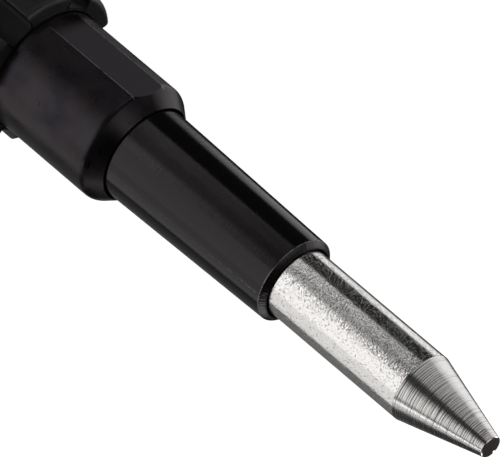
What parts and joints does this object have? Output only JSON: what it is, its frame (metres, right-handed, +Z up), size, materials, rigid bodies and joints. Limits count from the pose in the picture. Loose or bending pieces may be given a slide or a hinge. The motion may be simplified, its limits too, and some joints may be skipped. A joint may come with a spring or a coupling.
{
  "type": "automatic centre punch",
  "caption": "Spring-loaded hand punch that marks metal: a ground steel point in a tapered sleeve, a flatted barrel, a ribbed grip and a turning rear cap that sets the blow.",
  "frame": {"origin": "on the bench, under the middle of the tool's box, with the tool lying on the two grip ribs beside a groove", "axes": "+X along the tool towards the point, +Z up"},
  "size_m": [0.1268, 0.0138, 0.0137],
  "materials": {
    "black_steel": "satin black oxide on turned steel, very slightly purple-brown",
    "gloss_black": "glossy black over fine turning marks",
    "grip_plastic": "moulded black plastic with a soft sheen",
    "ground_steel": "hardened steel, rod polished with fine specks, cone ground with fine rings",
    "plain_steel": "turned steel, lightly oiled",
    "spring_steel": "drawn spring wire",
    "rubber": "soft black rubber"
  },
  "bodies": {
    "root": {"barrel": "black_steel", "nose_sleeve": "gloss_black", "grip": "grip_plastic", "grip_collar": "black_steel", "guide_washer": "plain_steel", "centring_bush": "plain_steel", "cap_o_ring": "rubber", "return_spring": "spring_steel"},
    "punch": {"punch_point": "ground_steel", "stop_collar": "plain_steel", "collar_clip": "spring_steel", "drive_pin": "plain_steel"},
    "hammer": {"hammer": "plain_steel", "spring_washer": "plain_steel"},
    "catch": {"catch_block": "plain_steel", "catch_leaf_spring": "spring_steel"},
    "seat": {"spring_seat": "plain_steel", "thrust_ball": "ground_steel", "main_spring": "spring_steel"},
    "cap": {"adjusting_cap": "grip_plastic", "cap_thread_insert": "plain_steel", "thrust_disc": "plain_steel"}
  },
  "joints": [
    {"name": "point_press", "type": "slide", "parent": "root", "child": "punch", "axis": [-1, 0, 0], "range_m": [0, 0.008], "stiffness_N_per_m": 400, "springref_m": -0.004, "deforming": ["return_spring"]},
    {"name": "hammer_cock", "type": "slide", "parent": "root", "child": "hammer", "axis": [-1, 0, 0], "range_m": [0, 0.008], "stiffness_N_per_m": 1500, "springref_m": -0.003, "deforming": ["main_spring"]},
    {"name": "catch_centre", "type": "slide", "parent": "hammer", "child": "catch", "axis": [0, 0, -1], "range_m": [0, 0.0007], "stiffness_N_per_m": 300, "springref_m": -0.001, "deforming": ["catch_leaf_spring"]},
    {"name": "cap_advance", "type": "slide", "parent": "root", "child": "seat", "axis": [1, 0, 0], "range_m": [0, 0.0025], "deforming": ["main_spring"]},
    {"name": "cap_turn", "type": "hinge", "parent": "seat", "child": "cap", "pos_m": [-0.055, 0, 0.00684], "axis": [1, 0, 0], "range_deg": [0, 900]}
  ],
  "couplings": [
    {"joint": "hammer_cock", "follows": "point_press", "ratio": 1},
    {"joint": "catch_centre", "follows": "point_press", "ratio": 0.0875},
    {"joint": "cap_turn", "follows": "cap_advance", "rad_per_m": 6283.2}
  ]
}
